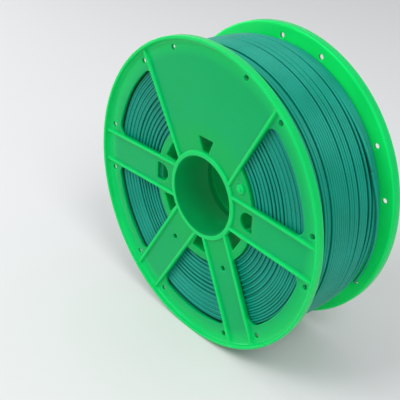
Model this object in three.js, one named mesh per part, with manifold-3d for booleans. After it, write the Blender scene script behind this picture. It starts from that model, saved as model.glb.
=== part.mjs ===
// Filament spool for a 3D printer: two identical moulded flanges pressed onto a winding drum,
// wound full of 1.75 mm filament whose free end is parked in a rim hole.
//
// Millimetres. The spool's axis is Y, the front flange faces -Y, +Z is up, and the origin is the
// middle of the spool on its axis. Each flange is drawn once, facing +Y, and placed twice.
// Depths are measured inward from the plane of a flange's lip edge.
import * as THREE from 'three';
import { mergeVertices } from 'three/addons/utils/BufferGeometryUtils.js';
import Module from 'manifold-3d';

// Driving dimensions
const FLANGE_RADIUS = 100;
const OVERALL_WIDTH = 72.5;
const WALL = 2;
const BORE_RADIUS = 25.8;
const FILAMENT_DIAMETER = 1.75;
const GAP = 0.4;

// Flange: a shallow dish from the hub out to a lip that stands along the axis
const DISH_SLOPE = 0.04;
const LIP_FILLET_RADIUS = 3;
const LIP_CORNER_RADIUS = 1.3;
const LIP_EDGE_CHAMFER = 0.5;
const LIP_FOOT_DEPTH = 4.8;
const HUB_RING_RADIUS = 29.2;
const HUB_RING_DEPTH = 5;
const HUB_EDGE_ROUND = 0.8;
const BORE_TUBE_GAP = 5;

// Spokes: channels with a rib on each side, every 60 degrees
const SPOKE_COUNT = 6;
const SPOKE_HALF_WIDTH = 11.8;
const RIB_WIDTH = 2;
const RIB_START_RADIUS = 28;
const RIB_CREST_DEPTH_AT_HUB = 4.9;
const RIB_CREST_SLOPE = 0.049;
const RIB_END_RADIUS = 99;
const PANEL_ANGLE = 90;

// Windows between the spokes, and the web ring that closes the drum's end
const WINDOW_OUTER_RADIUS = 86.8;
const WINDOW_CORNER_RADIUS = 6;
const WEB_RADIUS = 44.6;
const WEB_CORNER_RADIUS = 1.5;

// Small openings in the web and spokes
const WEB_SLOT = { inner: 29.7, outer: 38.9, innerHalfWidth: 2.6, outerHalfWidth: 6.6 };
const GATE_ANGLE = 150;
const GATE_PLACE_RADIUS = 38.3;
const GATE_PAD = { radius: 3, height: 1.2 };
const GATE_STUB = { radius: 1.3, height: 2.2 };
const SPOKE_SLOT_ANGLES = [0, 180];
const SPOKE_SLOT = { inner: 34.6, outer: 45, halfWidth: 5.9 };
const PIN_HOLE_ANGLES = [240, 300];
const PIN_HOLE = { placeRadius: 47.8, radius: 1.7 };
const RIM_HOLE = { placeRadius: 92.8, radius: 1.7, offsetAngle: 10.2 };

// Drum that the filament is wound on, and the flange's spigot inside it
const DRUM_OUTER_RADIUS = 44.2;
const SPIGOT_OUTER_RADIUS = DRUM_OUTER_RADIUS - WALL - GAP;
const SPIGOT_LENGTH = 6;

// Winding: crowned, so its top layer falls away towards both flanges
const WINDING_CROWN_RADIUS = 94.2;
const WINDING_EDGE_RADIUS = 90.3;
const WINDING_CROWN_POWER = 4;

// The rear flange sits turned on the drum
const REAR_FLANGE_TURN = THREE.MathUtils.degToRad(21.5);

const LATHE_SEGMENTS = 48;
const HOLE_SEGMENTS = 10;
const CURVE_SEGMENTS = 3;
const CORNER_STEPS = 2;
const CUTTER_DEPTH = 30;

const wasm = await Module();
wasm.setup();

// ---- Solids ---------------------------------------------------------------------------------

function toSolid(geometry) {
  const bare = geometry.clone();
  bare.deleteAttribute('normal');
  bare.deleteAttribute('uv');
  const merged = mergeVertices(bare, 1e-4);
  return new wasm.Manifold(new wasm.Mesh({
    numProp: 3,
    vertProperties: new Float32Array(merged.attributes.position.array),
    triVerts: new Uint32Array(merged.index.array),
  }));
}

function toGeometry(solid) {
  const mesh = solid.getMesh();
  const geometry = new THREE.BufferGeometry();
  geometry.setAttribute('position', new THREE.BufferAttribute(mesh.vertProperties, 3));
  geometry.setIndex(new THREE.BufferAttribute(mesh.triVerts, 1));
  geometry.computeVertexNormals();
  return geometry;
}

// A closed profile of [radius, y] points turned about the Y axis.
function turned(profile) {
  const points = [...profile, profile[0]].map(([radius, y]) => new THREE.Vector2(radius, y));
  return new THREE.LatheGeometry(points, LATHE_SEGMENTS);
}

// A prism of a shape drawn in the X-Z plane, reaching from y = top down by depth.
function prism(shape, top, depth) {
  const geometry = new THREE.ExtrudeGeometry(shape, {
    depth,
    bevelEnabled: false,
    curveSegments: CURVE_SEGMENTS,
  });
  return geometry.rotateX(Math.PI / 2).translate(0, top, 0);
}

// Turns a geometry about the spool's axis so that what points along +X points along degrees.
function turnTo(geometry, degrees) {
  return geometry.rotateY(-THREE.MathUtils.degToRad(degrees));
}

// ---- Flange surfaces ------------------------------------------------------------------------

const halfWall = WALL / 2;
const lipInnerRadius = FLANGE_RADIUS - WALL;
const lipFootRadius = lipInnerRadius - LIP_FILLET_RADIUS;
const lipPlane = OVERALL_WIDTH / 2;

function dishDepth(radius) {
  return LIP_FOOT_DEPTH + (lipFootRadius - radius) * DISH_SLOPE;
}

function crestDepth(radius) {
  return RIB_CREST_DEPTH_AT_HUB - (radius - HUB_RING_RADIUS) * RIB_CREST_SLOPE;
}

function outerFace(radius) {
  return lipPlane - dishDepth(radius) + halfWall;
}

function innerFace(radius) {
  return lipPlane - dishDepth(radius) - halfWall;
}

// Points on a quarter circle, from one angle in degrees to another.
function quarter(radius, centre, from, to) {
  return Array.from({ length: CORNER_STEPS + 1 }, (_, step) => {
    const angle = THREE.MathUtils.degToRad(from + ((to - from) * step) / CORNER_STEPS);
    return [centre[0] + radius * Math.cos(angle), centre[1] + radius * Math.sin(angle)];
  });
}

// The lip's section, from the flange's inner face round its edge to the foot of its fillet.
function lipSection() {
  const cornerFoot = FLANGE_RADIUS - LIP_CORNER_RADIUS;
  const cornerCentre = [cornerFoot, innerFace(cornerFoot) + LIP_CORNER_RADIUS];
  const filletCentre = [lipFootRadius, outerFace(lipFootRadius) + LIP_FILLET_RADIUS];
  return [
    ...quarter(LIP_CORNER_RADIUS, cornerCentre, -90, 0),
    [FLANGE_RADIUS, lipPlane - LIP_EDGE_CHAMFER],
    [FLANGE_RADIUS - LIP_EDGE_CHAMFER, lipPlane],
    [lipInnerRadius + LIP_EDGE_CHAMFER, lipPlane],
    [lipInnerRadius, lipPlane - LIP_EDGE_CHAMFER],
    ...quarter(LIP_FILLET_RADIUS, filletCentre, 0, -90),
  ];
}

// The turned body: bore tube, drum spigot, dish, lip and hub ring.
function flangeBody() {
  const tubeEnd = BORE_TUBE_GAP / 2;
  const tubeOuter = BORE_RADIUS + WALL;
  const spigotInner = SPIGOT_OUTER_RADIUS - WALL;
  const spigotEnd = innerFace(SPIGOT_OUTER_RADIUS) - SPIGOT_LENGTH;
  const hubTop = lipPlane - HUB_RING_DEPTH;
  return toSolid(turned([
    [BORE_RADIUS, tubeEnd],
    [tubeOuter, tubeEnd],
    [tubeOuter, innerFace(tubeOuter)],
    [spigotInner, innerFace(spigotInner)],
    [spigotInner, spigotEnd],
    [SPIGOT_OUTER_RADIUS, spigotEnd],
    [SPIGOT_OUTER_RADIUS, innerFace(SPIGOT_OUTER_RADIUS)],
    ...lipSection(),
    [HUB_RING_RADIUS, outerFace(HUB_RING_RADIUS)],
    [HUB_RING_RADIUS, hubTop],
    [BORE_RADIUS + HUB_EDGE_ROUND, hubTop],
    [BORE_RADIUS, hubTop - HUB_EDGE_ROUND],
  ]));
}

// One spoke rib along +X: its foot is in the wall, and its crest slopes from the hub to the lip.
function rib(side) {
  const middle = SPOKE_HALF_WIDTH - RIB_WIDTH / 2;
  const point = (radius, depth) => {
    const along = Math.sqrt(radius * radius - middle * middle);
    return new THREE.Vector2(along, lipPlane - depth);
  };
  const shape = new THREE.Shape([
    point(RIB_START_RADIUS, dishDepth(RIB_START_RADIUS)),
    point(RIB_END_RADIUS, dishDepth(RIB_END_RADIUS)),
    point(RIB_END_RADIUS, crestDepth(RIB_END_RADIUS)),
    point(RIB_START_RADIUS, crestDepth(RIB_START_RADIUS)),
  ]);
  const geometry = new THREE.ExtrudeGeometry(shape, { depth: RIB_WIDTH, bevelEnabled: false });
  return geometry.translate(0, 0, side * middle - RIB_WIDTH / 2);
}

// ---- Openings, each drawn around +X ---------------------------------------------------------

// A window: two sides parallel to its spokes, an outer arc and the web's arc, corners rounded.
function windowShape() {
  const spokeTurn = Math.PI / SPOKE_COUNT;
  const corner = (circleRadius, round, inward) => {
    const reach = circleRadius + inward * round;
    const offset = SPOKE_HALF_WIDTH + round;
    const along = Math.sqrt(reach * reach - offset * offset);
    const x = along * Math.cos(spokeTurn) + offset * Math.sin(spokeTurn);
    const y = along * Math.sin(spokeTurn) - offset * Math.cos(spokeTurn);
    return { x, y, round, bearing: Math.atan2(y, x) };
  };
  const outer = corner(WINDOW_OUTER_RADIUS, WINDOW_CORNER_RADIUS, -1);
  const inner = corner(WEB_RADIUS, WEB_CORNER_RADIUS, 1);
  const sideNormal = spokeTurn + Math.PI / 2;
  const shape = new THREE.Shape();
  shape.absarc(outer.x, -outer.y, outer.round, -sideNormal, -outer.bearing, false);
  shape.absarc(0, 0, WINDOW_OUTER_RADIUS, -outer.bearing, outer.bearing, false);
  shape.absarc(outer.x, outer.y, outer.round, outer.bearing, sideNormal, false);
  shape.absarc(inner.x, inner.y, inner.round, sideNormal, inner.bearing + Math.PI, false);
  shape.absarc(0, 0, WEB_RADIUS, inner.bearing, -inner.bearing, true);
  shape.absarc(inner.x, -inner.y, inner.round, Math.PI - inner.bearing, -sideNormal + 2 * Math.PI, false);
  return shape;
}

function webSlotShape() {
  const { inner, outer, innerHalfWidth, outerHalfWidth } = WEB_SLOT;
  return new THREE.Shape([
    new THREE.Vector2(inner, -innerHalfWidth),
    new THREE.Vector2(outer, -outerHalfWidth),
    new THREE.Vector2(outer, outerHalfWidth),
    new THREE.Vector2(inner, innerHalfWidth),
  ]);
}

// A D-shaped slot with its round end towards the hub.
function spokeSlotShape() {
  const { inner, outer, halfWidth } = SPOKE_SLOT;
  const shape = new THREE.Shape();
  shape.moveTo(outer, -halfWidth);
  shape.lineTo(outer, halfWidth);
  shape.absarc(inner + halfWidth, 0, halfWidth, Math.PI / 2, (3 * Math.PI) / 2, false);
  return shape;
}

function roundHole({ placeRadius, radius }) {
  const geometry = new THREE.CylinderGeometry(radius, radius, CUTTER_DEPTH, HOLE_SEGMENTS);
  return geometry.translate(placeRadius, lipPlane, 0);
}

function post({ radius, height }) {
  const foot = lipPlane - dishDepth(GATE_PLACE_RADIUS);
  const length = halfWall + height;
  const geometry = new THREE.CylinderGeometry(radius, radius, length, HOLE_SEGMENTS);
  return geometry.translate(GATE_PLACE_RADIUS, foot + length / 2, 0);
}

// ---- Flange ---------------------------------------------------------------------------------

const spokeAngles = Array.from({ length: SPOKE_COUNT }, (_, index) => index * 60);
const webAngles = spokeAngles.map((angle) => angle + 30);
const windowAngles = webAngles.filter((angle) => angle !== PANEL_ANGLE);
const cutterTop = lipPlane + 1;
const cutThrough = (shape) => prism(shape, cutterTop, HUB_RING_DEPTH + 2 * WALL + 3);

function flangeGeometry() {
  let solid = flangeBody();
  const add = (geometry) => {
    solid = solid.add(toSolid(geometry));
  };
  const cut = (geometry) => {
    solid = solid.subtract(toSolid(geometry));
  };
  windowAngles.forEach((angle) => cut(turnTo(cutThrough(windowShape()), angle)));
  spokeAngles.forEach((angle) => {
    [-1, 1].forEach((side) => {
      const facing = (angle + side * 30 + 360) % 360;
      if (facing !== PANEL_ANGLE) {
        add(turnTo(rib(side), angle));
      }
      cut(turnTo(roundHole(RIM_HOLE), angle + side * RIM_HOLE.offsetAngle));
    });
  });
  webAngles
    .filter((angle) => angle !== GATE_ANGLE)
    .forEach((angle) => cut(turnTo(cutThrough(webSlotShape()), angle)));
  SPOKE_SLOT_ANGLES.forEach((angle) => cut(turnTo(cutThrough(spokeSlotShape()), angle)));
  PIN_HOLE_ANGLES.forEach((angle) => cut(turnTo(roundHole(PIN_HOLE), angle)));
  add(turnTo(post(GATE_PAD), GATE_ANGLE));
  add(turnTo(post(GATE_STUB), GATE_ANGLE));
  return toGeometry(solid);
}

// ---- Drum and filament ----------------------------------------------------------------------

function drumGeometry() {
  const inner = DRUM_OUTER_RADIUS - WALL;
  const innerEnd = innerFace(inner) - GAP;
  return turned([
    [inner, -innerEnd],
    [DRUM_OUTER_RADIUS, -innerEnd],
    [DRUM_OUTER_RADIUS, innerEnd],
    [inner, innerEnd],
  ]);
}

// The whole winding as one ring that fills the space between the flanges.
function windingGeometry() {
  const innerRadius = DRUM_OUTER_RADIUS + GAP;
  const innerEnd = innerFace(innerRadius) - GAP;
  const crownEnd = innerFace(WINDING_EDGE_RADIUS) - GAP;
  const crown = [-1, -0.9, -0.8, -0.65, -0.4, 0.4, 0.65, 0.8, 0.9, 1].map((along) => {
    const fall = (WINDING_CROWN_RADIUS - WINDING_EDGE_RADIUS) * Math.abs(along) ** WINDING_CROWN_POWER;
    return [WINDING_CROWN_RADIUS - fall, crownEnd * along];
  });
  return turned([[innerRadius, -innerEnd], ...crown, [innerRadius, innerEnd]]);
}

// The filament's free end: it leaves the top layer, crosses to the rear flange, passes out
// through a rim hole and is bent back under the lip. Points are [angle, radius, y].
const tailRoute = [
  [24, 94.9, 19.2],
  [12, 94.6, 21.4],
  [0, 94.2, 23.3],
  [-10, 93.9, 24.6],
  [-18, 93.6, 25.4],
  [-23, 93.4, 25.9],
  [-26.4, 93.1, 27.1],
  [-28.2, 92.85, 29.8],
  [-28.2, 92.8, 32.4],
  [-26.9, 92.7, 34.5],
  [-24, 92.5, 35.2],
  [-19, 92.3, 35.2],
];

function tailGeometry() {
  const points = tailRoute.map(([angle, radius, y]) => {
    const turn = THREE.MathUtils.degToRad(angle);
    return new THREE.Vector3(radius * Math.cos(turn), y, radius * Math.sin(turn));
  });
  const section = new THREE.Shape();
  section.absarc(0, 0, FILAMENT_DIAMETER / 2, 0, 2 * Math.PI, false);
  return new THREE.ExtrudeGeometry(section, {
    steps: 30,
    extrudePath: new THREE.CatmullRomCurve3(points),
    curveSegments: CURVE_SEGMENTS,
  });
}

// ---- Scene graph ----------------------------------------------------------------------------

function namedMesh(name, geometry, material) {
  const mesh = new THREE.Mesh(geometry, material);
  mesh.name = name;
  return mesh;
}

const flangePlastic = new THREE.MeshStandardMaterial({ color: 0x1fc86a, roughness: 0.28, metalness: 0 });
const drumPlastic = new THREE.MeshStandardMaterial({ color: 0x17a55a, roughness: 0.3, metalness: 0 });
const filament = new THREE.MeshStandardMaterial({ color: 0x1f937f, roughness: 0.35, metalness: 0 });

const spool = new THREE.Group();
const flange = flangeGeometry();

const frontFlange = namedMesh('front_flange', flange, flangePlastic);
frontFlange.rotation.z = Math.PI;
spool.add(frontFlange);

const rearFlange = namedMesh('rear_flange', flange, flangePlastic);
rearFlange.rotation.y = -REAR_FLANGE_TURN;
spool.add(rearFlange);

spool.add(namedMesh('winding_drum', drumGeometry(), drumPlastic));
spool.add(namedMesh('filament_winding', windingGeometry(), filament));
spool.add(namedMesh('filament_tail', tailGeometry(), filament));

export default spool;
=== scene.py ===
"""Looks of a wound filament spool: two translucent green flanges, a drum, and teal filament.

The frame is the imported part's: the spool's axis is Y, the front flange faces -Y and +Z is up.
Lengths are in millimetres, and become metres when a mesh is made. The floor, the lights and the
shaders' own lengths are in metres.
"""
import math

import bpy
import numpy as np
from mathutils import Matrix, Vector
from mathutils.geometry import delaunay_2d_cdt


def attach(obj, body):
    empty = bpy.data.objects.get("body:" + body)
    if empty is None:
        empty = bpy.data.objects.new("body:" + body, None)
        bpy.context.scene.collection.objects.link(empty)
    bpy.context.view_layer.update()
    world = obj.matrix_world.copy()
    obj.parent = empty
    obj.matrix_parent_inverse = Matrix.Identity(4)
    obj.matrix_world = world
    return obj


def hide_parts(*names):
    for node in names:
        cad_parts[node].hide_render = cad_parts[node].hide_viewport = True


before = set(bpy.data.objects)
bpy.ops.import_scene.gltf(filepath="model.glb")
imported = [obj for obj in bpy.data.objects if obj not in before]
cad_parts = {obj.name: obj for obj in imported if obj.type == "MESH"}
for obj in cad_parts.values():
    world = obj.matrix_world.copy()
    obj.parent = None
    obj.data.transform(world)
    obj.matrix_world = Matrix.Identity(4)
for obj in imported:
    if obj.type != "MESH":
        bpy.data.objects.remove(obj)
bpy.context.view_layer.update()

MM = 0.001

# ---- Dimensions of the part --------------------------------------------------------------------
# Flange: a shallow dish from the hub out to a lip that stands along the axis.
FLANGE_RADIUS = 100.0
LIP_PLANE = 36.25
WALL = 2.0
HALF_WALL = WALL / 2
GAP = 0.4
DISH_SLOPE = 0.04
LIP_FILLET_RADIUS = 3.0
LIP_CORNER_RADIUS = 1.3
LIP_FOOT_DEPTH = 4.8
BORE_RADIUS = 25.8
BORE_TUBE_END = 2.5
HUB_RING_RADIUS = 29.2
HUB_RING_DEPTH = 5.0

# Spokes: channels with a rib on each side, and one closed panel between two of them.
SPOKE_SPACING = 60
SPOKE_HALF_WIDTH = 11.8
RIB_WIDTH = 2.0
RIB_START_RADIUS = 28.0
RIB_HIDDEN_LENGTH = 4.0
RIB_CREST_DEPTH = 5.0
RIB_CREST_SLOPE = 0.049
# A rib ends in the lip, where the wall has turned this far, in radians.
RIB_END_TURN = 1.45
PANEL_ANGLE = 90

# Windows between the spokes, and the small openings in the web and the spokes.
WINDOW_OUTER_RADIUS = 86.8
WINDOW_CORNER_RADIUS = 6.0
WEB_RADIUS = 44.6
WEB_CORNER_RADIUS = 1.5
# Radius and half width of a web slot at its two ends.
WEB_SLOT_ENDS = ((29.7, 2.6), (38.9, 6.6))
WEB_SLOT_ROUND = 0.6
SPOKE_SLOT_ANGLES = (0, 180)
SPOKE_SLOT_START = 34.6
SPOKE_SLOT_END = 45.0
SPOKE_SLOT_HALF_WIDTH = 5.9
# A spoke slot is a half circle at the hub end and nearly square at the other.
SPOKE_SLOT_ROUNDS = (5.89, 0.5, 0.5, 5.89)
PIN_HOLE_ANGLES = (240, 300)
PIN_HOLE_PLACE = 47.8
PIN_HOLE_RADIUS = 1.7
RIM_HOLE_PLACE = 92.8
RIM_HOLE_RADIUS = 1.7
RIM_HOLE_OFFSET = 10.2

# Gate mark: a pad with a stub on it, and small ripples round it in place of one web slot.
GATE_ANGLE = 150
GATE_PLACE_RADIUS = 38.3
GATE_PAD_RADIUS = 3.0
GATE_PAD_HEIGHT = 1.2
GATE_STUB_RADIUS = 1.3
GATE_STUB_HEIGHT = 2.2
GATE_REACH = 9.0
GATE_RIPPLE = 0.28
GATE_RIPPLE_MARGIN = 0.6
# Radians a millimetre along the wall's two directions, for each of the two crossed waves.
GATE_WAVES = ((2.3, 0.9), (-0.7, 1.9))

# Drum, spigots and winding.
DRUM_OUTER_RADIUS = 44.2
SPIGOT_OUTER_RADIUS = 41.8
SPIGOT_LENGTH = 6.0
REAR_FLANGE_TURN = math.radians(21.5)
WINDING_CROWN_RADIUS = 94.2
WINDING_EDGE_RADIUS = 90.3
WINDING_HALF_WIDTH = 29.86
WINDING_CROWN_POWER = 4
STRAND_RADIUS = 0.845
STRAND_WIDTH = 1.75
TAIL_RADIUS = 0.86

# ---- Softness of the moulding's edges ----------------------------------------------------------
# A raised side leans out by DRAFT. ROUND_STEPS are the shares of a rounding where the mesh has a
# line, and one more line lies past it, to hold the flat face.
EDGE_ROUND = 0.5
BORE_EDGE_ROUND = 0.8
BORE_INNER_SHARE = 0.6
FOOT_FILLET = 1.0
DRAFT = 0.04
HOLD = 0.4
LIP_HOLD = 0.15
ROUND_STEPS = (0.0, 0.134, 0.5, 1.0)
# How far before the lip's bend the mesh has its last rings, and the steps it takes round the bend.
BEND_APPROACH = (4.6, 2.4, 0.8)
BEND_STEPS = 14

# The wall's middle surface: a dish out to the bend, a quarter turn, then the standing lip.
BEND_RADIUS = LIP_FILLET_RADIUS + HALF_WALL
BEND_START = FLANGE_RADIUS - HALF_WALL - BEND_RADIUS
BEND_LENGTH = BEND_RADIUS * math.pi / 2
LIP_LENGTH = LIP_FOOT_DEPTH - BEND_RADIUS
WALL_LENGTH = BEND_START + BEND_LENGTH + LIP_LENGTH
RIB_LINE_END = BEND_START + BEND_LENGTH * 0.85

SPOKE_ANGLES = tuple(range(0, 360, SPOKE_SPACING))
WEB_ANGLES = tuple(range(SPOKE_SPACING // 2, 360, SPOKE_SPACING))
WINDOW_ANGLES = tuple(angle for angle in WEB_ANGLES if angle != PANEL_ANGLE)

# Distances to an outline are worked out this far round it, and are FAR everywhere else.
NEARBY = 2.0
FAR = 50.0
# Points of an outline, and of the whole mesh, that are closer than this are one point.
SAME_PLACE = 1e-6
SAME_MESH_PLACE = 1e-4
# Rings of loose points on the faces, and the closer ones round the gate mark.
FILL_START = 32.5
FILL_END = BEND_START - 5
FILL_PITCH = 3.4
GATE_FILL_START = 5.0
GATE_FILL_PITCH = 0.6

# ---- Winding -----------------------------------------------------------------------------------
# Turns of the top layer after which the strands stand apart, and by how much.
TOP_GAPS = ((2, 0.6), (3, 0.7), (5, 1.2), (13, 0.5), (15, 0.6), (17, 0.6), (21, 1.2), (24, 0.9))
TOP_TURNS = 28
TOP_EDGE = 28.9
TOP_LARGEST_SINK = 0.22
TOP_SEED = 7
TURN_STEPS = 132
# How much a gap's width varies on its way round, once and twice a turn.
GAP_WAVES = (0.5, 0.3)
# Each turn steps to the next one's place in the last share of its way round, up to this bearing.
CROSSOVER_END = math.radians(260)
CROSSOVER_SHARE = 0.16
# The last turn lies in a wider gap after this turn, then lifts off and becomes the tail.
LAST_TURN_AFTER = 22
LAST_TURN_ROOM = 2.3
# Where the tail lifts off it, where it is in the layer, where it starts to sink and where it ends.
LAST_TURN_BEARINGS = tuple(math.radians(degrees) for degrees in (24.2, 58, 165, 200))
LAST_TURN_SINK = 2.2 * STRAND_RADIUS
LAST_TURN_STEPS = 96
# The tail's centre line: bearing in degrees, radius, and place along the axis.
TAIL_ROUTE = ((24, 94.9, 19.2), (12, 94.6, 21.4), (0, 94.2, 23.3), (-10, 93.9, 24.6),
              (-18, 93.6, 25.4), (-23, 93.4, 25.9), (-26.4, 93.1, 27.1), (-28.2, 92.85, 29.8),
              (-28.2, 92.8, 32.4), (-26.9, 92.7, 34.5), (-24, 92.5, 35.2), (-19, 92.3, 35.2))
TAIL_STEPS = 12
TAIL_MEAN_RADIUS = 94
# Against the flanges the inner layers are loose and every second one lies deeper.
LOOSE_LAYERS = 17
LOOSE_PITCH = 1.56
LOOSE_RECESS = 1.0
TIGHT_PITCH = 1.72
TIGHT_RECESS = 0.5
SIDE_CLEARANCE = 1.3
SIDE_EDGE = WINDING_EDGE_RADIUS - SIDE_CLEARANCE - STRAND_WIDTH
SIDE_START = DRUM_OUTER_RADIUS + GAP + STRAND_RADIUS + 0.1
SIDE_SEED = 11
# Ranges and sizes of the unevenness of the side layers.
RECESS_SHARES = (0.8, 1.15)
UNEVEN_DEPTHS = (0.02, 0.14)
RADIUS_WANDER = 0.05
ANY_PHASE = 6.3
CORE_SIDE_DEPTH = 3.2
CORE_TOP_DEPTH = 1.8
CORE_ROWS = 96
CORE_STEPS_PER_RIB = 6
CORE_RIB_SHARE = 0.92
# Sides of a strand's section.
TOP_SIDES = 12
SIDE_SIDES = 10
TAIL_SIDES = 14

# ---- Colours and finish ------------------------------------------------------------------------
# Painted glow: a bright green on the inner face near the rim, standing in for light that comes through
# the plastic.
RIM_PAINTED_GLOW_GREEN = (0.006, 0.66, 0.125)
# Painted highlight and glow: a brighter green on the ribs, hub ring, gate mark and lip.
RAISED_PAINTED_HIGHLIGHT_GREEN = (0.004, 0.50, 0.115)
PANEL_GREEN = (0.0, 0.315, 0.098)
HUB_GREEN = (0.0, 0.33, 0.075)
# Painted shade on the walls of cuts, and the darker tone that the random clouds mix in.
CUT_SHADE_AND_CLOUD_GREEN = (0.0, 0.26, 0.05)
# Painted shade: the bore's darker green stands in for the light that does not reach inside it.
BORE_PAINTED_SHADE_GREEN = (0.0, 0.17, 0.045)
# The plastic's colour from the bore out, by radius, with painted shade in the bore and the painted
# highlight green on the lip.
GREEN_BY_RADIUS = ((26.2, BORE_PAINTED_SHADE_GREEN), (26.8, HUB_GREEN), (42.0, HUB_GREEN), (50.0, PANEL_GREEN),
                   (87.5, PANEL_GREEN), (95.5, RAISED_PAINTED_HIGHLIGHT_GREEN))
BORE_ZONE_RADIUS = BORE_RADIUS + 0.5
INNER_RIM_RADIUS = 88.0
# Heights over the wall's outer face, each with how much of another colour shows there.
# Painted highlight: raised parts take the brighter green.
HIGHLIGHT_HEIGHTS = ((0.2, 0.0), (0.8, 1.0))
# Painted shade: the walls of cuts through the dish take the darker green.
CUT_SHADE_HEIGHTS = ((-1.9, 0.0), (-1.6, 1.0), (-0.5, 1.0), (-0.1, 0.0))
# Painted glow: the inner face near the rim takes the bright rim green.
INNER_SIDE_HEIGHTS = ((-1.9, 1.0), (-1.7, 0.0))
# Height of the wall's outer face above the middle plane, carried in to the axis.
FACE_AT_AXIS = LIP_PLANE - LIP_FOOT_DEPTH + HALF_WALL - BEND_START * DISH_SLOPE
# Lengths that the colour ramps' run from 0 to 1 stands for: a radius, and a height with 0 at 0.5.
RAMP_RADIUS = 100.0
RAMP_HEIGHT = 10.0
PLASTIC_ROUGHNESS = 0.24
BORE_ROUGHNESS = 0.55
# Painted glow: a faint green emission on the flanges and the drum, standing in for light through the
# translucent plastic.
PAINTED_GLOW = {"Emission Color": (0, 1, 0.2, 1), "Emission Strength": 0.07}
PLASTIC_FINISH = {
    "Specular IOR Level": 0.3,
    "Specular Tint": (0.12, 1, 0.5, 1),
    "Subsurface Weight": 0.7,
    "Subsurface Radius": (0.2, 1.0, 0.5),
    "Subsurface Scale": 0.004,
    **PAINTED_GLOW,
}
CLOUD_SCALE = 28
CLOUD_SHIFT = 0.03
CLOUD_SHADE = 0.5
CLOUD_BASE_SHADE = 0.1
FILAMENT_TEAL = (0.004, 0.285, 0.205)
FILAMENT_DARK = (0.002, 0.245, 0.165)
FILAMENT_CLOUD_SCALE = 60
FILAMENT_FINISH = {"Roughness": 0.36, "Specular IOR Level": 0.35, "Specular Tint": (0.5, 1, 0.9, 1)}
DRUM_TEAL = (0.005, 0.25, 0.16)
DRUM_GREEN = (0.0, 0.16, 0.05)
# The drum takes the same painted glow.
DRUM_FINISH = {"Roughness": 0.3, "Specular IOR Level": 0.3, **PAINTED_GLOW}

# ---- Studio and camera -------------------------------------------------------------------------
FLOOR_REACH = 40.0
FLOOR_GREY = (0.66, 0.66, 0.66)
FLOOR_ROUGHNESS = 0.8
STUDIO_COLOUR = (0.95, 0.97, 1.0, 1)
STUDIO_STRENGTH = 0.64
# Name, place, size and watts of each soft light. All are aimed at the spool's centre.
SOFTBOXES = (
    ("key", (-0.5, -1.1, 1.2), (0.9, 0.9), 15),
    ("fill", (1.2, -0.5, 1.3), (0.6, 0.9), 14),
    ("side", (-1.3, -0.15, 0.45), (0.4, 0.9), 4),
)
# The camera's place round the spool, in degrees, and how far its axis passes left of and below it.
CAMERA_AZIMUTH = 49.18
CAMERA_ELEVATION = 24.94
CAMERA_ROLL = 4.93
CAMERA_DISTANCE = 488.37
AIM_LEFT = 24.1315
AIM_BELOW = 10.9748
LENS = 67.6836


# ---- The flange's wall, unrolled: a point is at distance s along the wall from the axis --------
def wall_at(s):
    """Radius and height of the wall's middle surface at s, and how far the wall has turned."""
    turn = np.clip((s - BEND_START) / BEND_RADIUS, 0, math.pi / 2)
    flat = np.minimum(s, BEND_START)
    radius = flat + BEND_RADIUS * np.sin(turn)
    y = LIP_PLANE - LIP_FOOT_DEPTH - (BEND_START - flat) * DISH_SLOPE
    y = y + BEND_RADIUS * (1 - np.cos(turn)) + np.maximum(s - BEND_START - BEND_LENGTH, 0)
    return radius, y, turn


def corner_fill(turn):
    """How far the lip's outer corner stands off the middle surface, in place of a full bend."""
    half = BEND_RADIUS + HALF_WALL
    inset = half - LIP_CORNER_RADIUS
    folded = np.pi / 4 - np.abs(turn - np.pi / 4)
    flat_side = half / np.cos(folded)
    along = inset * (np.sin(folded) + np.cos(folded))
    rounded = along + np.sqrt(np.maximum(along ** 2 - 2 * inset ** 2 + LIP_CORNER_RADIUS ** 2, 0))
    return np.where(half * np.tan(folded) < inset, flat_side, rounded) - BEND_RADIUS


def inner_face(radius):
    return wall_at(radius)[1] - HALF_WALL


def round_drop(distance, reach):
    """How far a rounded edge has fallen at a distance inside it: 1 at the edge, 0 past reach."""
    u = np.clip(distance / reach, 0, 1)
    return 1 - np.sqrt(1 - (1 - u) ** 2)


def raised(distance, height, base, rounded=True):
    """Height of a raised feature whose side is at distance 0, with a filleted foot."""
    gain = np.maximum(height - base, 0)
    edge = np.minimum(EDGE_ROUND, gain / 2)
    fillet = np.minimum(FOOT_FILLET, gain / 2)
    crest = base + gain
    inside = crest - edge * round_drop(-distance, EDGE_ROUND) * (1.0 if rounded else 0.0)
    wall = (crest - edge) + (base + fillet - crest + edge) * distance / DRAFT
    foot = base + fillet * round_drop(distance - DRAFT, FOOT_FILLET)
    return np.where(distance <= 0, inside, np.where(distance < DRAFT, wall, foot))


# ---- Outlines in the unrolled wall, with points about a spacing apart --------------------------
def arc(centre, radius, start, end, spacing):
    count = max(3, int(math.ceil(abs(end - start) * radius / spacing)))
    angles = np.linspace(start, end, count + 1)
    return np.stack([centre[0] + radius * np.cos(angles), centre[1] + radius * np.sin(angles)], 1)


def straight(start, end, spacing):
    start, end = np.asarray(start, float), np.asarray(end, float)
    count = max(1, int(math.ceil(np.linalg.norm(end - start) / spacing)))
    t = np.linspace(0, 1, count + 1)[:, None]
    return start + (end - start) * t


def circle(centre, radius, spacing):
    count = max(16, int(round(2 * math.pi * radius / spacing)))
    angles = np.arange(count) * 2 * math.pi / count
    return np.stack([centre[0] + radius * np.cos(angles), centre[1] + radius * np.sin(angles)], 1)


def joined(runs):
    """Runs of points joined into one closed outline, without the points they share."""
    points = np.concatenate(runs)
    gaps = np.linalg.norm(points - np.roll(points, 1, 0), axis=1)
    return points[gaps > SAME_PLACE]


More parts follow.
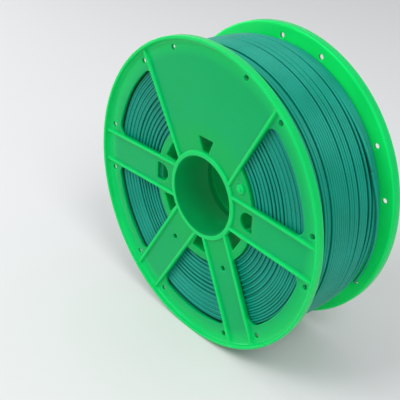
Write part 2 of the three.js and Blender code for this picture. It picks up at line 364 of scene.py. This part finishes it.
def turned(points, degrees):
    a = math.radians(degrees)
    c, s = math.cos(a), math.sin(a)
    return points @ np.array([[c, s], [-s, c]])


def gate_place():
    return turned(np.array([[GATE_PLACE_RADIUS, 0.0]]), GATE_ANGLE)[0]


def window_corner(circle_radius, rounding, inward):
    """The centre of a window's corner, as lengths along the spoke and across from its middle."""
    reach = circle_radius + inward * rounding
    offset = SPOKE_HALF_WIDTH + rounding
    return math.sqrt(reach * reach - offset * offset), offset


def window_outline(grow):
    """A window around +X, grown outward: two sides along its spokes, an outer arc and the web's."""
    spoke_turn = math.radians(SPOKE_SPACING / 2)

    def corner(circle_radius, rounding, inward):
        along, offset = window_corner(circle_radius, rounding, inward)
        x = along * math.cos(spoke_turn) + offset * math.sin(spoke_turn)
        y = along * math.sin(spoke_turn) - offset * math.cos(spoke_turn)
        return x, y, math.atan2(y, x)

    outer_x, outer_y, outer_bearing = corner(WINDOW_OUTER_RADIUS, WINDOW_CORNER_RADIUS, -1)
    inner_x, inner_y, inner_bearing = corner(WEB_RADIUS, WEB_CORNER_RADIUS, 1)
    facing = spoke_turn + math.pi / 2
    away = np.array([math.cos(facing), math.sin(facing)])
    outer_round = WINDOW_CORNER_RADIUS + grow
    inner_round = WEB_CORNER_RADIUS + grow
    side_out = np.array([outer_x, outer_y]) + outer_round * away
    side_in = np.array([inner_x, inner_y]) + inner_round * away
    upper = np.concatenate([
        arc((0, 0), WINDOW_OUTER_RADIUS + grow, 0, outer_bearing, spacing=1.3),
        arc((outer_x, outer_y), outer_round, outer_bearing, facing, spacing=0.8),
        straight(side_out, side_in, spacing=1.3),
        arc((inner_x, inner_y), inner_round, facing, inner_bearing + math.pi, spacing=0.5),
        arc((0, 0), WEB_RADIUS - grow, inner_bearing, 0, spacing=1.0),
    ])
    lower = upper[::-1] * np.array([1, -1])
    return joined([upper, lower])


def rounded_polygon(corners, rounds, grow, spacing):
    """A convex outline, counter-clockwise, whose corners have their own rounding."""
    corners = np.asarray(corners, float)
    runs = []
    for k, here in enumerate(corners):
        before = corners[k - 1] - here
        after = corners[(k + 1) % len(corners)] - here
        before, after = before / np.linalg.norm(before), after / np.linalg.norm(after)
        half = math.acos(np.clip(before @ after, -1, 1)) / 2
        bisector = (before + after) / np.linalg.norm(before + after)
        centre = here + bisector * rounds[k] / math.sin(half)
        first = math.atan2(before[0], -before[1])
        runs.append(arc(centre, rounds[k] + grow, first, first + math.pi - 2 * half, spacing))
    following = runs[1:] + runs[:1]
    sides = [straight(run[-1], after[0], spacing=1.2) for run, after in zip(runs, following)]
    return joined([part for pair in zip(runs, sides) for part in pair])


def web_slot_outline(grow):
    (start, start_half), (end, end_half) = WEB_SLOT_ENDS
    corners = [(start, -start_half), (end, -end_half), (end, end_half), (start, start_half)]
    return rounded_polygon(corners, (WEB_SLOT_ROUND,) * 4, grow, spacing=0.6)


def spoke_slot_outline(grow):
    start, end, half = SPOKE_SLOT_START, SPOKE_SLOT_END, SPOKE_SLOT_HALF_WIDTH
    corners = [(start, -half), (end, -half), (end, half), (start, half)]
    return rounded_polygon(corners, SPOKE_SLOT_ROUNDS, grow, spacing=0.8)


def pin_hole_outline(grow):
    return circle((PIN_HOLE_PLACE, 0), PIN_HOLE_RADIUS + grow, spacing=0.7)


def rim_hole_outline(grow):
    return circle((RIM_HOLE_PLACE, 0), RIM_HOLE_RADIUS + grow, spacing=0.6)


def opening_list():
    """(outline maker, angle) for every opening through the wall but the bore."""
    rim_hole_angles = [angle + side * RIM_HOLE_OFFSET for angle in SPOKE_ANGLES for side in (-1, 1)]
    found = [(window_outline, angle) for angle in WINDOW_ANGLES]
    found += [(web_slot_outline, angle) for angle in WEB_ANGLES if angle != GATE_ANGLE]
    found += [(spoke_slot_outline, angle) for angle in SPOKE_SLOT_ANGLES]
    found += [(pin_hole_outline, angle) for angle in PIN_HOLE_ANGLES]
    found += [(rim_hole_outline, angle) for angle in rim_hole_angles]
    return found


def signed_distance(points, outline):
    """Distance of points to a closed outline, negative inside it."""
    result = np.full(len(points), FAR)
    low, high = outline.min(0) - NEARBY, outline.max(0) + NEARBY
    near = np.where(((points > low) & (points < high)).all(1))[0]
    if len(near) == 0:
        return result
    p = points[near]
    a, b = outline, np.roll(outline, -1, 0)
    best = np.full(len(p), np.inf)
    inside = np.zeros(len(p), bool)
    for k in range(len(a)):
        edge = b[k] - a[k]
        t = np.clip(((p - a[k]) @ edge) / (edge @ edge), 0, 1)
        best = np.minimum(best, np.linalg.norm(p - a[k] - t[:, None] * edge, axis=1))
        crosses = (a[k][1] > p[:, 1]) != (b[k][1] > p[:, 1])
        with np.errstate(divide="ignore", invalid="ignore"):
            at = a[k][0] + (p[:, 1] - a[k][1]) * edge[0] / edge[1]
        inside ^= crosses & (p[:, 0] < at)
    result[near] = np.where(inside, -best, best)
    return result


def rib_sides():
    """(spoke angle, side) of each rib; the two sides that face the closed panel have none."""
    return [(angle, side) for angle in SPOKE_ANGLES for side in (-1, 1)
            if (angle + side * SPOKE_SPACING // 2) % 360 != PANEL_ANGLE]


def rib_distance(points, radius, angle, side):
    """Signed distance to a rib's sides; its ends are hidden in the hub ring and the lip."""
    bearing = np.arctan2(points[:, 1], points[:, 0]) - math.radians(angle)
    across = side * radius * np.sin(bearing)
    along = radius * np.cos(bearing)
    middle = SPOKE_HALF_WIDTH - RIB_WIDTH / 2
    distance = np.abs(across - middle) - RIB_WIDTH / 2
    return np.where(along > RIB_START_RADIUS - RIB_HIDDEN_LENGTH, distance, FAR)


def new_mesh(name, points, faces):
    mesh = bpy.data.meshes.new(name)
    mesh.from_pydata((points * MM).tolist(), [], faces)
    mesh.shade_smooth()
    mesh.validate()
    return mesh


# ---- The flange's mesh -------------------------------------------------------------------------
def rings(centre, radius, grows, spacing):
    return [circle(centre, radius + grow, spacing) for grow in grows]


def side_line(across, first, last):
    """A line along a spoke between two places on the wall, at a distance across from its middle."""
    s = straight((first, 0), (last, 0), spacing=1.2)[:, 0]
    bearing = np.arcsin(across / wall_at(s)[0])
    return np.stack([s * np.cos(bearing), s * np.sin(bearing)], 1)


def flange_loops():
    """Closed outlines and open lines that the flange's mesh follows, close together on each edge."""
    hub = (0, 0)
    opening_edge = [step * EDGE_ROUND for step in ROUND_STEPS] + [EDGE_ROUND + HOLD]
    bore_edge = [step * BORE_EDGE_ROUND for step in ROUND_STEPS] + [BORE_EDGE_ROUND + HOLD]
    crest = [-step * EDGE_ROUND for step in ROUND_STEPS]
    foot = [DRAFT + step * FOOT_FILLET for step in ROUND_STEPS] + [DRAFT + FOOT_FILLET + HOLD]
    closed = []
    for outline, angle in opening_list():
        closed += [turned(outline(grow), angle) for grow in opening_edge]
    closed += rings(hub, BORE_RADIUS, bore_edge, spacing=1.2)
    closed += rings(hub, HUB_RING_RADIUS, crest + [-EDGE_ROUND - HOLD] + foot, spacing=1.2)
    closed += rings(hub, BORE_RADIUS + WALL, crest + foot, spacing=1.4)
    closed += rings(hub, SPIGOT_OUTER_RADIUS, crest + foot, spacing=1.6)
    closed += rings(hub, SPIGOT_OUTER_RADIUS - WALL, [-grow for grow in crest + foot], spacing=1.6)
    for radius in (GATE_PAD_RADIUS, GATE_STUB_RADIUS):
        closed += rings(gate_place(), radius, crest + foot, spacing=0.6)
    lip = [BEND_START - before for before in BEND_APPROACH]
    lip += list(BEND_START + np.linspace(0, BEND_LENGTH, BEND_STEPS + 1))
    lip += [WALL_LENGTH - EDGE_ROUND - LIP_HOLD]
    lip += [WALL_LENGTH - step * EDGE_ROUND for step in ROUND_STEPS]
    closed += rings(hub, 0.0, lip, spacing=1.5)

    opened = []
    window_start, _ = window_corner(WEB_RADIUS, WEB_CORNER_RADIUS, 1)
    window_end, _ = window_corner(WINDOW_OUTER_RADIUS, WINDOW_CORNER_RADIUS, -1)
    for angle, side in rib_sides():
        for grow in crest + foot:
            channel_side = side * (SPOKE_HALF_WIDTH - RIB_WIDTH - grow)
            window_side = side * (SPOKE_HALF_WIDTH + grow)
            opened.append(turned(side_line(channel_side, RIB_START_RADIUS, RIB_LINE_END), angle))
            opened.append(turned(side_line(window_side, RIB_START_RADIUS, window_start), angle))
            opened.append(turned(side_line(window_side, window_end, RIB_LINE_END), angle))
    return closed, opened


def fill_points():
    """Rings of loose points that keep the triangles between the outlines small."""
    face_radii = np.arange(FILL_START, FILL_END, FILL_PITCH)
    gate_radii = np.arange(GATE_FILL_START, GATE_REACH, GATE_FILL_PITCH)
    on_faces = [circle((0, 0), radius, spacing=3.6) for radius in face_radii]
    return on_faces + [circle(gate_place(), radius, spacing=0.6) for radius in gate_radii]


def triangulated(closed, opened, loose):
    """Points and counter-clockwise triangles that keep to every outline and line."""
    points, edges = [], []
    for run, is_closed in [(run, True) for run in closed] + [(run, False) for run in opened]:
        start = len(points)
        points += [Vector((float(x), float(y))) for x, y in run]
        edges += [(start + k, start + k + 1) for k in range(len(run) - 1)]
        if is_closed:
            edges.append((start + len(run) - 1, start))
    points += [Vector((float(x), float(y))) for run in loose for x, y in run]
    verts, _, faces, *_ = delaunay_2d_cdt(points, edges, [], 0, SAME_MESH_PLACE)
    flat = np.array([tuple(v) for v in verts])
    triangles = np.array([tuple(f) for f in faces])
    corner = flat[triangles]
    u, v = corner[:, 1] - corner[:, 0], corner[:, 2] - corner[:, 0]
    area = u[:, 0] * v[:, 1] - u[:, 1] * v[:, 0]
    triangles[area < 0] = triangles[area < 0][:, ::-1]
    return flat, triangles


def cut_out(flat, triangles, outlines):
    """The triangles outside every outline, and the points that they use."""
    centres = flat[triangles].mean(1)
    keep = np.ones(len(triangles), bool)
    for outline in outlines:
        keep &= signed_distance(centres, outline) > 0
    triangles = triangles[keep]
    used = np.unique(triangles)
    renumber = np.full(len(flat), -1)
    renumber[used] = np.arange(len(used))
    return flat[used], renumber[triangles]


def flange_mesh():
    """A watertight flange facing +Y: an outer and an inner surface, and the walls that join them."""
    openings = [turned(outline(0.0), angle) for outline, angle in opening_list()]
    bore = circle((0, 0), BORE_RADIUS, spacing=1.2)
    closed, opened = flange_loops()
    flat, triangles = triangulated(closed, opened, fill_points())
    flat, triangles = cut_out(flat, triangles, openings + [bore])

    top, bottom = wall_offsets(flat, openings)
    s = np.hypot(flat[:, 0], flat[:, 1])
    bearing = np.arctan2(flat[:, 1], flat[:, 0])
    radius, y, turn = wall_at(s)

    def lifted(offset):
        reach = radius - offset * np.sin(turn)
        height = np.minimum(y + offset * np.cos(turn), LIP_PLANE)
        return np.stack([reach * np.cos(bearing), height, reach * np.sin(bearing)], 1)

    count = len(flat)
    directed = np.concatenate([triangles[:, [0, 1]], triangles[:, [1, 2]], triangles[:, [2, 0]]])
    key = directed[:, 0].astype(np.int64) * count + directed[:, 1]
    back = directed[:, 1].astype(np.int64) * count + directed[:, 0]
    rim = directed[~np.isin(key, back)]
    outer = triangles[:, ::-1]
    inner = triangles + count
    walls = np.stack([rim[:, 0], rim[:, 1], rim[:, 1] + count, rim[:, 0] + count], 1)
    polygons = outer.tolist() + inner.tolist() + walls.tolist()
    return new_mesh("flange", np.concatenate([lifted(top), lifted(-bottom)]), polygons)


def gate_ripple(flat, from_gate, open_edge):
    """Crossed waves about 3 mm long round the gate mark, which fade out towards any opening."""
    x, y = flat[:, 0], flat[:, 1]
    (first_x, first_y), (second_x, second_y) = GATE_WAVES
    waves = np.sin(first_x * x + first_y * y) * np.sin(second_y * y + second_x * x)
    near_gate = np.clip(1 - from_gate / GATE_REACH, 0, 1)
    return GATE_RIPPLE * waves * near_gate * np.clip(open_edge - GATE_RIPPLE_MARGIN, 0, 1)


def wall_offsets(flat, openings):
    """How far the outer and inner surfaces stand off the wall's middle surface at each point."""
    s = np.hypot(flat[:, 0], flat[:, 1])
    radius, y, turn = wall_at(s)
    open_edge = np.full(len(flat), FAR)
    for outline in openings:
        open_edge = np.minimum(open_edge, signed_distance(flat, outline))
    open_edge = np.maximum(open_edge, 0)
    edge = EDGE_ROUND * round_drop(open_edge, EDGE_ROUND)
    bore_edge = BORE_EDGE_ROUND * round_drop(s - BORE_RADIUS, BORE_EDGE_ROUND)
    lip_edge = EDGE_ROUND * round_drop(WALL_LENGTH - s, EDGE_ROUND)

    from_gate = np.linalg.norm(flat - gate_place(), axis=1)
    base = HALF_WALL + gate_ripple(flat, from_gate, open_edge)
    crest_y = LIP_PLANE - RIB_CREST_DEPTH + (radius - HUB_RING_RADIUS) * RIB_CREST_SLOPE
    crest = (crest_y - y) / (np.maximum(np.cos(turn), 0.05) + RIB_CREST_SLOPE * np.sin(turn))
    crest = np.where(turn < RIB_END_TURN, crest, 0)
    features = [(radius - HUB_RING_RADIUS, LIP_PLANE - HUB_RING_DEPTH - y)]
    features += [(rib_distance(flat, radius, angle, side), crest) for angle, side in rib_sides()]
    features += [(from_gate - GATE_PAD_RADIUS, base + GATE_PAD_HEIGHT)]
    features += [(from_gate - GATE_STUB_RADIUS, base + GATE_STUB_HEIGHT)]
    top, full = base.copy(), base.copy()
    for distance, height in features:
        top = np.maximum(top, raised(distance, height, base))
        full = np.maximum(full, raised(distance, height, base, rounded=False))
    top = np.minimum.reduce([top, full - edge, full - bore_edge, full - lip_edge])

    tube = raised(radius - BORE_RADIUS - WALL, y - BORE_TUBE_END, base)
    spigot_middle = SPIGOT_OUTER_RADIUS - WALL / 2
    spigot = raised(np.abs(radius - spigot_middle) - WALL / 2, base + SPIGOT_LENGTH, base)
    bottom = np.maximum.reduce([tube, spigot, corner_fill(turn)])
    bottom = bottom - np.maximum.reduce([edge, BORE_INNER_SHARE * bore_edge, lip_edge])
    return top, bottom


# ---- Winding -----------------------------------------------------------------------------------
def crown(y):
    """Radius of the winding's crowned outside at a place along the axis."""
    drop = WINDING_CROWN_RADIUS - WINDING_EDGE_RADIUS
    return WINDING_CROWN_RADIUS - drop * np.abs(y / WINDING_HALF_WIDTH) ** WINDING_CROWN_POWER


def on_crown(y):
    """Radius of the centre of a strand that touches the crowned outside from within."""
    slope = (crown(y + 0.01) - crown(y - 0.01)) / 0.02
    return crown(y) - STRAND_RADIUS * np.sqrt(1 + slope ** 2)


def smooth_step(value):
    value = np.clip(value, 0, 1)
    return value * value * (3 - 2 * value)


def tube_faces(rows, sides, closed):
    """Faces between rows of points round a tube, which is either closed on itself or capped."""
    here = np.arange(rows if closed else rows - 1)[:, None] * sides
    there = (here + sides) % (rows * sides)
    j = np.arange(sides)
    k = (j + 1) % sides
    faces = np.stack([here + j, here + k, there + k, there + j], -1).reshape(-1, 4).tolist()
    if not closed:
        faces += [j[::-1].tolist(), (j + (rows - 1) * sides).tolist()]
    return faces


def swept(radius, y, bearing, closed):
    """A section, one row of (radius, y) for each bearing, carried round the axis."""
    points = [radius * np.cos(bearing)[:, None], y, radius * np.sin(bearing)[:, None]]
    return np.stack(points, -1).reshape(-1, 3), tube_faces(*radius.shape, closed)


def strand(radius, y, bearing, sides, closed):
    around = np.arange(sides) * 2 * math.pi / sides
    section_radius = radius[:, None] + STRAND_RADIUS * np.cos(around)
    return swept(section_radius, y[:, None] + STRAND_RADIUS * np.sin(around), bearing, closed)


def solid_mesh(name, parts):
    """One mesh of several (points, faces) parts."""
    points, faces, base = [], [], 0
    for part_points, part_faces in parts:
        points.append(part_points)
        faces += [[index + base for index in face] for face in part_faces]
        base += len(part_points)
    return new_mesh(name, np.concatenate(points), faces)


def top_layer():
    """The outermost layer: one strand laid turn by turn from the front edge to the rear."""
    rng = np.random.default_rng(TOP_SEED)
    turns = np.arange(TOP_TURNS * TURN_STEPS + 1) / TURN_STEPS
    bearing = turns * 2 * math.pi + CROSSOVER_END
    whole = np.minimum(np.floor(turns), TOP_TURNS - 1)
    laid = whole + smooth_step((turns - whole - 1 + CROSSOVER_SHARE) / CROSSOVER_SHARE)
    widths = []
    once, twice = GAP_WAVES
    for _, width in TOP_GAPS:
        slow, quick = rng.uniform(0, 2 * math.pi, 2)
        widths.append(width * (1 + once * np.sin(bearing + slow) + twice * np.sin(2 * bearing + quick)))
    slack = 2 * TOP_EDGE - (TOP_TURNS - 1) * STRAND_WIDTH - LAST_TURN_ROOM
    share = slack / sum(widths)
    y = -TOP_EDGE + STRAND_WIDTH * laid + LAST_TURN_ROOM * np.clip(laid - LAST_TURN_AFTER, 0, 1)
    for (turn, _), width in zip(TOP_GAPS, widths):
        y = y + share * width * np.clip(laid - turn, 0, 1)
    y = np.minimum(y, TOP_EDGE)
    sinks = rng.uniform(0, TOP_LARGEST_SINK, TOP_TURNS + 1)
    radius = on_crown(y) - np.interp(turns, np.arange(TOP_TURNS + 1), sinks)

    neighbour = slice(LAST_TURN_AFTER * TURN_STEPS, (LAST_TURN_AFTER + 1) * TURN_STEPS)
    once_round = bearing[neighbour] % (2 * math.pi)
    order = np.argsort(once_round)
    beside_y = y[neighbour][order] + (STRAND_WIDTH + LAST_TURN_ROOM) / 2
    return [strand(radius, y, bearing, TOP_SIDES, False), last_turn(once_round[order], beside_y)]


def last_turn(known_bearing, known_y):
    """The part of the last turn that lies in the layer, from where the tail lifts off it."""
    lift_off, lifted, sinks, ends = LAST_TURN_BEARINGS
    bearing = np.linspace(lift_off, ends, LAST_TURN_STEPS)
    _, tail_radius, tail_y = TAIL_ROUTE[0]
    y = np.interp(bearing, known_bearing, known_y)
    rise = 1 - smooth_step((bearing - lift_off) / (lifted - lift_off))
    y = y + (tail_y - y) * rise
    radius = on_crown(y)
    radius = radius + (tail_radius - radius) * rise
    radius = radius - LAST_TURN_SINK * smooth_step((bearing - sinks) / (ends - sinks))
    return strand(radius, y, bearing, TOP_SIDES, False)


def smooth_line(route, steps):
    """A Catmull-Rom curve through the points of a route."""
    ends = np.concatenate([[2 * route[0] - route[1]], route, [2 * route[-1] - route[-2]]])
    t = np.arange(steps)[:, None] / steps
    runs = []
    for before, here, there, beyond in zip(ends, ends[1:], ends[2:], ends[3:]):
        bend = 2 * before - 5 * here + 4 * there - beyond
        twist = 3 * here - before - 3 * there + beyond
        runs.append(0.5 * (2 * here + (there - before) * t + bend * t ** 2 + twist * t ** 3))
    return np.concatenate(runs + [route[-1:]])


def tail():
    """The strand's end, from the last turn across the winding and through a hole in the rear rim."""
    places = [(math.radians(degrees), radius, y) for degrees, radius, y in TAIL_ROUTE]
    route = np.array([(radius * math.cos(a), y, radius * math.sin(a)) for a, radius, y in places])
    line = smooth_line(route, TAIL_STEPS)
    along = np.gradient(line, axis=0)
    along /= np.linalg.norm(along, axis=1)[:, None]
    # A direction between the axis and the outward one, which the tail never runs along.
    aside = np.array([0.0, 1.0, 0.0]) + 0.6 * line * np.array([1, 0, 1]) / TAIL_MEAN_RADIUS
    across = np.cross(along, aside)
    across /= np.linalg.norm(across, axis=1)[:, None]
    other = np.cross(along, across)
    around = (np.arange(TAIL_SIDES) * 2 * math.pi / TAIL_SIDES)[:, None, None]
    ring = line + TAIL_RADIUS * (np.cos(around) * across + np.sin(around) * other)
    return ring.transpose(1, 0, 2).reshape(-1, 3), tube_faces(len(line), TAIL_SIDES, False)


def side_layers(side):
    """The strands that lie against a flange: loose and uneven near the drum, tight outside."""
    rng = np.random.default_rng(SIDE_SEED + side)
    bearing = np.arange(TURN_STEPS) * 2 * math.pi / TURN_STEPS

    def phase():
        return rng.uniform(0, ANY_PHASE)

    parts = []
    radius, layer = SIDE_START, 0
    while radius < SIDE_EDGE:
        loose = layer < LOOSE_LAYERS
        recess = (LOOSE_RECESS if loose else TIGHT_RECESS) * (layer % 2) * rng.uniform(*RECESS_SHARES)
        wave = 1 + np.sin(bearing + phase()) * np.sin(3 * bearing + phase())
        deep = recess + rng.uniform(*UNEVEN_DEPTHS) * wave
        wander = radius + RADIUS_WANDER * np.sin(2 * bearing + phase())
        y = inner_face(wander) - GAP - STRAND_RADIUS - deep
        parts.append(strand(wander, side * y, bearing, SIDE_SIDES, True))
        radius += LOOSE_PITCH if loose else TIGHT_PITCH
        layer += 1
    return parts


def core():
    """The wound body under the strands that show, ribbed like the layer below the top one."""
    half = inner_face(WINDING_EDGE_RADIUS) - GAP - CORE_SIDE_DEPTH
    y = np.linspace(-half, half, CORE_STEPS_PER_RIB * int(2 * half / STRAND_WIDTH) + 1)
    across = (y / STRAND_WIDTH + 0.5) % 1 - 0.5
    from_rib = CORE_RIB_SHARE * across * STRAND_WIDTH
    ribbed = np.sqrt(STRAND_RADIUS ** 2 - from_rib ** 2) - STRAND_RADIUS
    outside = crown(y) - CORE_TOP_DEPTH + ribbed
    inside = DRUM_OUTER_RADIUS + GAP
    inner_half = inner_face(inside) - GAP - CORE_SIDE_DEPTH
    profile_radius = np.concatenate([[inside], outside, [inside]])
    profile_y = np.concatenate([[-inner_half], y, [inner_half]])
    bearing = np.arange(CORE_ROWS) * 2 * math.pi / CORE_ROWS
    section = np.tile(profile_radius, (CORE_ROWS, 1)), np.tile(profile_y, (CORE_ROWS, 1))
    return swept(*section, bearing, True)


# ---- Materials ---------------------------------------------------------------------------------
def new_material(name, finish):
    """A material with one Principled shader, whose inputs take the values of the finish."""
    material = bpy.data.materials.new(name)
    material.use_nodes = True
    tree = material.node_tree
    tree.nodes.clear()
    output = tree.nodes.new("ShaderNodeOutputMaterial")
    shader = tree.nodes.new("ShaderNodeBsdfPrincipled")
    tree.links.new(shader.outputs[0], output.inputs["Surface"])
    for socket, value in finish.items():
        shader.inputs[socket].default_value = value
    return material, tree, shader


def ramp(tree, source, stops):
    """A colour ramp driven by a value from 0 to 1."""
    node = tree.nodes.new("ShaderNodeValToRGB")
    elements = node.color_ramp.elements
    while len(elements) < len(stops):
        elements.new(0.5)
    for element, (position, colour) in zip(elements, stops):
        element.position = position
        element.color = (*colour, 1)
    tree.links.new(source, node.inputs["Fac"])
    return node.outputs["Color"]


def math_node(tree, operation, *values):
    """The result of a Math node whose inputs are numbers or other nodes' outputs."""
    node = tree.nodes.new("ShaderNodeMath")
    node.operation = operation
    for socket, value in zip(node.inputs, values):
        if isinstance(value, (int, float)):
            socket.default_value = value
        else:
            tree.links.new(value, socket)
    return node.outputs["Value"]


def part_place(tree):
    """Object coordinates: their vector, the radius from the axis, and the place along it."""
    vector = tree.nodes.new("ShaderNodeTexCoord").outputs["Object"]
    split = tree.nodes.new("ShaderNodeSeparateXYZ")
    tree.links.new(vector, split.inputs["Vector"])
    square_x = math_node(tree, "MULTIPLY", split.outputs["X"], split.outputs["X"])
    square_z = math_node(tree, "MULTIPLY", split.outputs["Z"], split.outputs["Z"])
    radius = math_node(tree, "SQRT", math_node(tree, "ADD", square_x, square_z))
    return vector, radius, split.outputs["Y"]


def noise(tree, vector, scale, detail):
    node = tree.nodes.new("ShaderNodeTexNoise")
    node.inputs["Scale"].default_value = scale
    node.inputs["Detail"].default_value = detail
    tree.links.new(vector, node.inputs["Vector"])
    return node.outputs["Fac"]


def mixed(tree, factor, first, second):
    """A blend of two colours; each is a fixed colour or another node's output."""
    node = tree.nodes.new("ShaderNodeMix")
    node.data_type = "RGBA"
    tree.links.new(factor, node.inputs["Factor"])
    for socket, value in ((node.inputs[6], first), (node.inputs[7], second)):
        if isinstance(value, tuple):
            socket.default_value = (*value, 1)
        else:
            tree.links.new(value, socket)
    return node.outputs[2]


def flange_material():
    """Green plastic, bluer on thin faces: painted highlight on ribs and rim, painted shade on cuts and
    bore.
    """
    material, tree, shader = new_material("spool_plastic", PLASTIC_FINISH)
    vector, radius, y = part_place(tree)

    def calc(operation, *values):
        return math_node(tree, operation, *values)

    def over_heights(stops):
        return ramp(tree, height, [(0.5 + place / RAMP_HEIGHT, (share,) * 3) for place, share in stops])

    cloud = calc("SUBTRACT", noise(tree, vector, CLOUD_SCALE, 2), 0.5)
    zone = calc("MULTIPLY_ADD", cloud, CLOUD_SHIFT, calc("MULTIPLY", radius, 1 / (RAMP_RADIUS * MM)))
    by_radius = ramp(tree, zone, [(place / RAMP_RADIUS, colour) for place, colour in GREEN_BY_RADIUS])
    face_y = calc("MULTIPLY_ADD", radius, DISH_SLOPE, FACE_AT_AXIS * MM)
    height = calc("MULTIPLY_ADD", calc("SUBTRACT", y, face_y), 1 / (RAMP_HEIGHT * MM), 0.5)
    outside_bore = calc("GREATER_THAN", radius, BORE_ZONE_RADIUS * MM)
    inside_lip = calc("LESS_THAN", radius, BEND_START * MM)
    at_inner_rim = calc("GREATER_THAN", radius, INNER_RIM_RADIUS * MM)

    # Painted highlight on the raised ribs, hub ring and gate mark.
    painted_highlight = calc("MULTIPLY", over_heights(HIGHLIGHT_HEIGHTS), outside_bore)
    on_dish = calc("MULTIPLY", inside_lip, outside_bore)
    # Painted shade on the walls of openings through the dish.
    painted_cut_shade = calc("MULTIPLY", over_heights(CUT_SHADE_HEIGHTS), on_dish)
    # Painted glow on the inner face near the rim.
    inner_rim_glow = calc("MULTIPLY", over_heights(INNER_SIDE_HEIGHTS), at_inner_rim)
    colour = mixed(tree, painted_highlight, by_radius, RAISED_PAINTED_HIGHLIGHT_GREEN)
    colour = mixed(tree, painted_cut_shade, colour, CUT_SHADE_AND_CLOUD_GREEN)
    colour = mixed(tree, inner_rim_glow, colour, RIM_PAINTED_GLOW_GREEN)
    # Random clouds of a darker tone in the plastic itself.
    colour = mixed(tree, calc("MULTIPLY_ADD", cloud, CLOUD_SHADE, CLOUD_BASE_SHADE), colour, CUT_SHADE_AND_CLOUD_GREEN)
    tree.links.new(colour, shader.inputs["Base Color"])
    roughness = calc("MULTIPLY_ADD", outside_bore, PLASTIC_ROUGHNESS - BORE_ROUGHNESS, BORE_ROUGHNESS)
    tree.links.new(roughness, shader.inputs["Roughness"])
    return material


def filament_material():
    material, tree, shader = new_material("filament", FILAMENT_FINISH)
    vector, _, _ = part_place(tree)
    cloud = noise(tree, vector, FILAMENT_CLOUD_SCALE, 3)
    colour = ramp(tree, cloud, ((0.3, FILAMENT_DARK), (0.7, FILAMENT_TEAL)))
    tree.links.new(colour, shader.inputs["Base Color"])
    return material


def drum_material():
    """Green drum wall with the first layer of filament showing through it as stripes, and a painted
    glow.
    """
    material, tree, shader = new_material("drum_plastic", DRUM_FINISH)
    _, _, y = part_place(tree)
    turn = math_node(tree, "FRACT", math_node(tree, "MULTIPLY", y, 1 / (STRAND_WIDTH * MM)))
    from_middle = math_node(tree, "ABSOLUTE", math_node(tree, "SUBTRACT", turn, 0.5))
    colour = ramp(tree, from_middle, ((0.1, DRUM_TEAL), (0.42, DRUM_GREEN)))
    tree.links.new(colour, shader.inputs["Base Color"])
    return material


def floor_material():
    finish = {"Base Color": (*FLOOR_GREY, 1), "Roughness": FLOOR_ROUGHNESS}
    return new_material("floor", finish)[0]


# ---- Pieces ------------------------------------------------------------------------------------
def piece(name, mesh, material, node, matrix=None):
    """A piece on the part's only body, shown in place of a CAD node."""
    made = bpy.data.objects.new(name, mesh)
    bpy.context.scene.collection.objects.link(made)
    if matrix is not None:
        made.matrix_world = matrix
    mesh.materials.append(material)
    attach(made, "root")
    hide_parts(node)


# One flange mesh is used twice: turned to face -Y in front, and turned on the drum at the rear.
front = flange_mesh()
rear = front.copy()
rear.transform(Matrix.Rotation(-REAR_FLANGE_TURN, 4, "Y"))
plastic = flange_material()
facing_front = Matrix.Rotation(math.pi, 4, "Z")
piece("front_flange_moulding", front, plastic, "front_flange", facing_front)
piece("rear_flange_moulding", rear, plastic, "rear_flange")

filament = filament_material()
wound_parts = (
    ("winding_core", [core()]),
    ("winding_top_layer", top_layer()),
    ("winding_side_layers", side_layers(-1) + side_layers(1)),
)
for name, parts in wound_parts:
    piece(name, solid_mesh(name, parts), filament, "filament_winding")
piece("tail_strand", solid_mesh("tail_strand", [tail()]), filament, "filament_tail")

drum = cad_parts["winding_drum"]
drum.data.materials.clear()
drum.data.materials.append(drum_material())


# ---- Floor, light and camera -------------------------------------------------------------------
def add_floor():
    corners = [(x * FLOOR_REACH, y * FLOOR_REACH, 0) for x, y in ((-1, -1), (1, -1), (1, 1), (-1, 1))]
    mesh = bpy.data.meshes.new("floor")
    mesh.from_pydata(corners, [], [(0, 1, 2, 3)])
    mesh.materials.append(floor_material())
    floor = bpy.data.objects.new("floor", mesh)
    floor.location.z = -FLANGE_RADIUS * MM
    bpy.context.scene.collection.objects.link(floor)


def add_studio():
    world = bpy.data.worlds.new("studio")
    world.use_nodes = True
    background = world.node_tree.nodes["Background"]
    background.inputs["Color"].default_value = STUDIO_COLOUR
    background.inputs["Strength"].default_value = STUDIO_STRENGTH
    bpy.context.scene.world = world
    bpy.context.scene.view_settings.view_transform = "Standard"
    for name, place, (width, height), power in SOFTBOXES:
        light = bpy.data.lights.new(name, "AREA")
        light.shape = "RECTANGLE"
        light.size = width
        light.size_y = height
        light.energy = power
        made = bpy.data.objects.new(name, light)
        made.location = place
        made.rotation_euler = (-Vector(place)).to_track_quat("-Z", "Y").to_euler()
        bpy.context.scene.collection.objects.link(made)


def add_camera():
    """A camera that looks at the spool from its right and above, rolled a little."""
    azimuth, elevation = math.radians(CAMERA_AZIMUTH), math.radians(CAMERA_ELEVATION)
    level = math.cos(elevation)
    back = Vector((math.sin(azimuth) * level, -math.cos(azimuth) * level, math.sin(elevation)))
    right = Vector((0, 0, 1)).cross(back).normalized()
    up = back.cross(right)
    place = back * CAMERA_DISTANCE - right * AIM_LEFT - up * AIM_BELOW
    roll = Matrix.Rotation(-math.radians(CAMERA_ROLL), 3, "Y")
    axes = Matrix((roll @ right, roll @ up, roll @ back)).transposed()
    camera_data = bpy.data.cameras.new("camera")
    camera_data.lens = LENS
    camera_data.clip_start = 0.01
    camera = bpy.data.objects.new("camera", camera_data)
    camera.matrix_world = Matrix.Translation(roll @ place * MM) @ axes.to_4x4()
    bpy.context.scene.collection.objects.link(camera)
    bpy.context.scene.camera = camera


add_floor()
add_studio()
add_camera()
